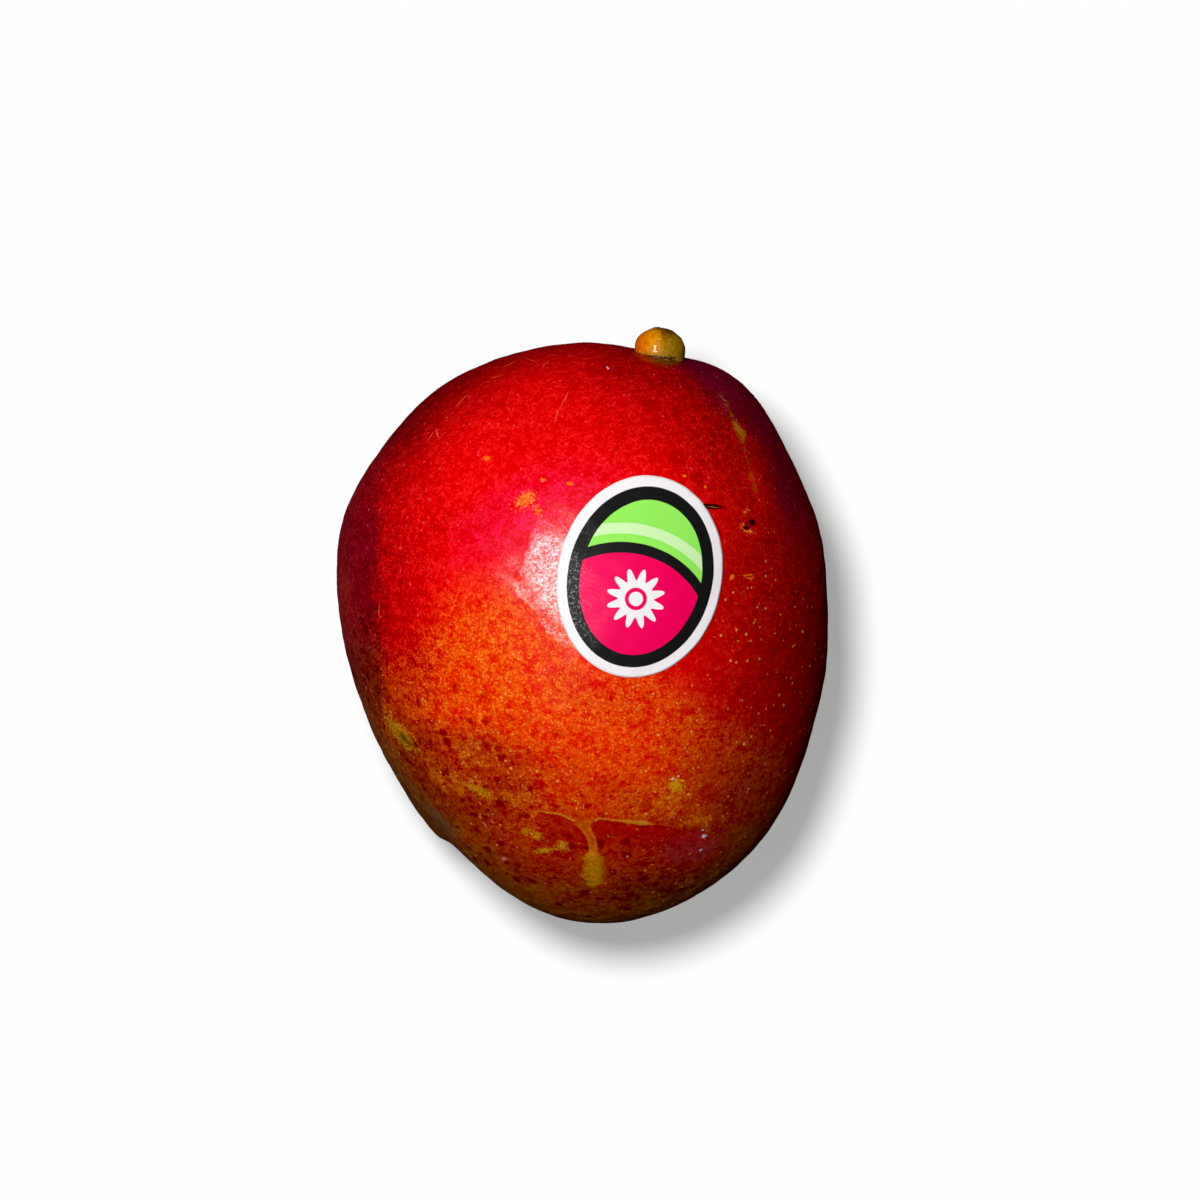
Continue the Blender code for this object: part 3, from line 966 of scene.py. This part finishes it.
def sticker_film_mesh():
    """Ovals of places laid on the skin, from the middle out over the top and back underneath.

    Each place keeps its distance from the middle along the skin, so the print isn't stretched.
    """
    middle = LABEL_MIDDLE / np.linalg.norm(LABEL_MIDDLE)
    east = np.cross([0.0, 1.0, 0.0], middle)
    east /= np.linalg.norm(east)
    north = np.cross(middle, east)
    long_way = math.sin(LABEL_TILT) * east + math.cos(LABEL_TILT) * north
    short_way = math.cos(LABEL_TILT) * east - math.sin(LABEL_TILT) * north
    turn = np.linspace(0.0, 2 * math.pi, FILM_COLUMNS, endpoint=False)
    share = np.linspace(0.0, 1.0, FILM_ROWS + 1)[1:]
    share = np.concatenate([share, share[::-1]])
    places = np.stack([LABEL_HALF_WIDTH * np.cos(turn), LABEL_HALF_LENGTH * np.sin(turn)], axis=-1)
    places = share[:, None, None] * places
    distance = np.linalg.norm(places, axis=-1, keepdims=True)
    way = (places[..., :1] * short_way + places[..., 1:] * long_way) / distance
    angle = distance / skin_radius(middle)
    directions = np.cos(angle) * middle + np.sin(angle) * way
    on_top = (np.arange(len(share)) < FILM_ROWS)[:, None]
    lift = np.where(on_top, FILM_GAP + FILM_THICKNESS, FILM_GAP) * np.ones_like(distance[..., 0])
    lift += relief(skin_points(directions) / MM) * MM - SKIN_INSET
    rings = skin_points(directions, lift)
    start = skin_points(middle, FILM_GAP + FILM_THICKNESS)
    end = skin_points(middle, FILM_GAP)
    made = ring_mesh("sticker_film", start, rings, end)
    on_film = np.zeros((len(made.data.vertices), 3))
    on_film[1:-1, :2] = places.reshape(-1, 2) / MM
    store(made, "print_place", on_film)
    return made


WHITE_FILM = (0.92, 0.87, 0.89, 1)
BLACK_INK = (0.012, 0.012, 0.012, 1)
PINK_INK = (0.9, 0.004, 0.105, 1)
GREEN_INK = (0.3, 0.84, 0.11, 1)
PALE_GREEN_INK = (0.62, 0.9, 0.45, 1)
# Sizes of the print, in millimetres. The cap is what lies outside a large circle, and the band,
# the stripe and the cap share that circle's middle.
EDGE_WIDTH = 1.8
RING_WIDTH = 2.2
CAP_MIDDLE = (0, -14)
CAP_RADIUS = 19.8
BAND_WIDTH = 1.8
STRIPE_RADII = (21.2, 23)
ROSETTE_MIDDLE = (0, -3.5)
ROSETTE_RADIUS = 4.2
ROSETTE_RAYS = 12
ROSETTE_EYE = 2
ROSETTE_HUB = 1.2
INK_BLUR = 0.06


def within_oval(place, margin):
    """1 on the part of the oval film that is margin millimetres inside its edge."""
    radii = (LABEL_HALF_WIDTH / MM - margin, LABEL_HALF_LENGTH / MM - margin, 1)
    scaled = place.vector("DIVIDE", place, radii)
    return smooth(scaled.vector("LENGTH", scaled, output=1), 1.004, 0.996)


def within_circle(place, middle, radius):
    """1 inside a circle on the film, in millimetres."""
    away = place.vector("DISTANCE", place, (*middle, 0), output=1)
    return smooth(away, radius + INK_BLUR, radius - INK_BLUR)


def sticker_film_material():
    """The print, from the film up: white, a black ring, pink, a black band, green, a rosette."""
    material, shader, place = new_material("sticker_film")
    print_place = stored(place, "print_place")
    field = within_oval(print_place, EDGE_WIDTH + RING_WIDTH)
    colour = blend(WHITE_FILM, BLACK_INK, within_oval(print_place, EDGE_WIDTH))
    within_band = within_circle(print_place, CAP_MIDDLE, CAP_RADIUS - BAND_WIDTH)
    inks = blend(PINK_INK, BLACK_INK, 1 - within_band)
    inks = blend(inks, GREEN_INK, 1 - within_circle(print_place, CAP_MIDDLE, CAP_RADIUS))
    inner, outer = [within_circle(print_place, CAP_MIDDLE, radius) for radius in STRIPE_RADII]
    inks = blend(inks, PALE_GREEN_INK, outer - inner)
    centred = print_place.vector("SUBTRACT", print_place, (*ROSETTE_MIDDLE, 0))
    reach = centred.vector("LENGTH", centred, output=1)
    across, along, _ = parts_of(centred)
    bearing = across.maths("ARCTAN2", along, across)
    rays = bearing.maths("COSINE", bearing * ROSETTE_RAYS) + ROSETTE_RADIUS
    burst = smooth(rays - reach, -INK_BLUR, INK_BLUR) * smooth(reach, ROSETTE_EYE - 0.1, ROSETTE_EYE)
    hub = smooth(reach, ROSETTE_HUB + 0.1, ROSETTE_HUB)
    inks = blend(inks, WHITE_FILM, highest(burst, hub))
    colour = blend(colour, inks, field)
    scuffs = noise(place, 0.36, 2, 0.6)
    worn = smooth(scuffs, 0.52, 0.66) * (0.40 - field * 0.28) + 0.02
    connect(
        shader,
        {"Base Color": colour, "Coat Weight": worn, "Normal": bumpy(scuffs * 0.01)},
        {"Roughness": 0.45, "IOR": 1.5, "Specular IOR Level": 0.04, "Coat IOR": 1.5, "Coat Roughness": 0.2},
    )
    return material


sticker_film = sticker_film_mesh()
sticker_film.data.materials.append(sticker_film_material())
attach(sticker_film, "root")
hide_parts("label")

# The studio. A pale floor that curves up into walls all round. Distant soft lamps high on the
# left light the pieces, one near lamp lights the floor, and a camera looks straight down.

FLOOR_INNER_RADIUS = 0.3
FLOOR_RADIUS = 1.0
CURVE_RADIUS = 0.8
CURVE_STEPS = 13
WALL_HEIGHT = 2.4
STUDIO_COLUMNS = 96


def studio_floor():
    """A bowl: a flat disc, a quarter circle up from its rim, and a wall, turned round the middle."""
    bend = np.linspace(0.0, 0.5 * math.pi, CURVE_STEPS)
    curve = FLOOR_RADIUS + CURVE_RADIUS * np.sin(bend)
    reach = np.concatenate([[FLOOR_INNER_RADIUS], curve, [FLOOR_RADIUS + CURVE_RADIUS]])
    rise = np.concatenate([[0.0], CURVE_RADIUS * (1 - np.cos(bend)), [WALL_HEIGHT]])
    turn = np.linspace(0.0, 2 * math.pi, STUDIO_COLUMNS, endpoint=False)
    rings = np.stack([
        np.outer(reach, np.cos(turn)),
        np.outer(reach, np.sin(turn)),
        np.outer(rise, np.ones(STUDIO_COLUMNS)),
    ], axis=-1)
    return ring_mesh("studio_floor", np.zeros(3), rings)


# The lamp over the floor hangs near the fruit, so that the shadow spreads round it.
FLOOR_LAMP_HEIGHT = 0.45
FLOOR_LAMP_LEFT = 0.048
FLOOR_LAMP_UP = 0.070
FLOOR_LAMP_RADIUS = 0.036
FLOOR_LAMP_POWER = 8.45
# The floor's glow under the lamp, and how much it gains where the lamp's light is thin.
GLOW = 0.285
GLOW_GAIN = 0.69
# Where the fruit touches the floor, in millimetres. A painted shadow darkens the floor's glow round
# it, from the far reach of this shade to its near one, by up to the share.
RESTING_SPOT = (1.1, 3.6, 0)
SHADE_REACHES = (44, 6)
SHADE_SHARE = 0.75


def studio_material():
    """Matt white that glows, so that the floor looks evenly lit and shadows on it stay pale.

    The lamp's light falls with the third power of the distance. Where it is thin, the floor glows
    more, and close to where the fruit touches it less, as a painted shadow.
    """
    material, shader, place = new_material("studio_floor")
    x, y, _ = parts_of(place)
    aside = (x + FLOOR_LAMP_LEFT / MM) / (FLOOR_LAMP_HEIGHT / MM)
    ahead = (y - FLOOR_LAMP_UP / MM) / (FLOOR_LAMP_HEIGHT / MM)
    spread = aside * aside + ahead * ahead + 1
    thinned = 1 - spread.maths("POWER", spread, -1.5)
    # Painted shadow: the glow dims close to where the fruit rests.
    away = place.vector("DISTANCE", place, RESTING_SPOT, output=1)
    glow = (thinned * GLOW_GAIN + GLOW) * (1 - smooth(away, *SHADE_REACHES) * SHADE_SHARE)
    colour = glow.node("ShaderNodeCombineColor", {}, {0: glow, 1: glow, 2: glow})
    matt_white = {"Base Color": (0.66, 0.66, 0.66, 1), "Roughness": 1, "Specular IOR Level": 0}
    connect(shader, {"Emission Color": colour}, {**matt_white, "Emission Strength": 1})
    return material


# The floor neither lights the pieces nor shows in their wax, and casts no shadow.
floor = studio_floor()
floor.data.materials.append(studio_material())
floor.visible_diffuse = False
floor.visible_glossy = False
floor.visible_transmission = False
floor.visible_shadow = False


def lights_only(lamp_object, receivers):
    """Lets a lamp light only the listed objects, which all cast their shadows."""
    group = bpy.data.collections.new(lamp_object.name)
    for receiver in receivers:
        group.objects.link(receiver)
    lamp_object.light_linking.receiver_collection = group


def lamp(name, left, up, strength, angle):
    """A distant round lamp, tilted from straight above by degrees to the left and to the top."""
    light = bpy.data.lights.new(name, "SUN")
    light.energy = strength
    light.angle = math.radians(angle)
    made = bpy.data.objects.new(name, light)
    way = np.array([-math.tan(math.radians(left)), math.tan(math.radians(up)), 1.0])
    way /= np.linalg.norm(way)
    made.rotation_euler = (math.acos(way[2]), 0.0, math.atan2(way[0], -way[1]))
    bpy.context.scene.collection.objects.link(made)
    return made


# The distant lamps: degrees to the left and to the top, strength, degrees across, and whether the
# lamp is there only for the glare on the wax. The others light the pieces without any glare.
DISTANT_LAMPS = {
    "main_lamp": (10, 15, 2.62, 8, False),
    "side_lamp": (16, 4, 0.88, 14, False),
    "glare_lamp": (13.4, -4.4, 3.3, 28.5, True),
    "upper_glare_lamp": (8, 8, 0.32, 22, True),
}
for name, (left, up, strength, angle, glare) in DISTANT_LAMPS.items():
    distant_lamp = lamp(name, left, up, strength, angle)
    distant_lamp.visible_glossy = glare
    distant_lamp.visible_diffuse = not glare
    lights_only(distant_lamp, (mango_skin, stem_knob, sticker_film))

floor_light = bpy.data.lights.new("floor_lamp", "POINT")
floor_light.energy = FLOOR_LAMP_POWER
floor_light.shadow_soft_size = FLOOR_LAMP_RADIUS
floor_lamp = bpy.data.objects.new("floor_lamp", floor_light)
floor_lamp.location = (-FLOOR_LAMP_LEFT, FLOOR_LAMP_UP, FLOOR_LAMP_HEIGHT)
bpy.context.scene.collection.objects.link(floor_lamp)
floor_lamp.visible_glossy = False
lights_only(floor_lamp, (floor,))


def studio_air():
    """Dim light from all round, a little more of it from below, and soft low reflections.

    The reflections show only in gloss, one on the left and one in front.
    """
    world = bpy.data.worlds.new("studio_air")
    world.use_nodes = True
    tree = world.node_tree
    coordinates = tree.nodes.new("ShaderNodeTexCoord")
    way = Wire(tree, coordinates.outputs["Generated"])
    x, y, z = parts_of(way)
    filling = blend((0.120, 0.112, 0.112, 1), (0.020, 0.020, 0.020, 1), smooth(z, -0.25, 0.05))
    low_left = smooth(z, -0.20, -0.40) * smooth(x, -0.2, -0.6)
    mirrored = blend((0.020, 0.017, 0.022, 1), (0.060, 0.050, 0.060, 1), low_left)
    low_front = smooth(y, -0.45, -0.70) * smooth(x, 0.10, 0.35) * smooth(z, 0.6, 0.3)
    mirrored = blend(mirrored, (0.10, 0.08, 0.11, 1), low_front)
    path = tree.nodes.new("ShaderNodeLightPath")
    glossy = Wire(tree, path.outputs["Is Glossy Ray"])
    tree.links.new(blend(filling, mirrored, glossy).socket, tree.nodes["Background"].inputs["Color"])
    return world


bpy.context.scene.world = studio_air()

CAMERA_PLACE = (0.003213, 0.00523, 0.4905)
SENSOR_WIDTH = 36.0
LENS = 71.4

camera_data = bpy.data.cameras.new("camera")
camera_data.sensor_width = SENSOR_WIDTH
camera_data.lens = LENS
camera_data.clip_start = 0.02
camera = bpy.data.objects.new("camera", camera_data)
camera.location = CAMERA_PLACE
bpy.context.scene.collection.objects.link(camera)
bpy.context.scene.camera = camera
bpy.context.scene.view_settings.view_transform = "Standard"
# The photograph's blacks are deep, so the darkest light is cut off.
BLACK_POINT = 0.004
bpy.context.scene.view_settings.use_curve_mapping = True
bpy.context.scene.view_settings.curve_mapping.black_level = (BLACK_POINT,) * 3
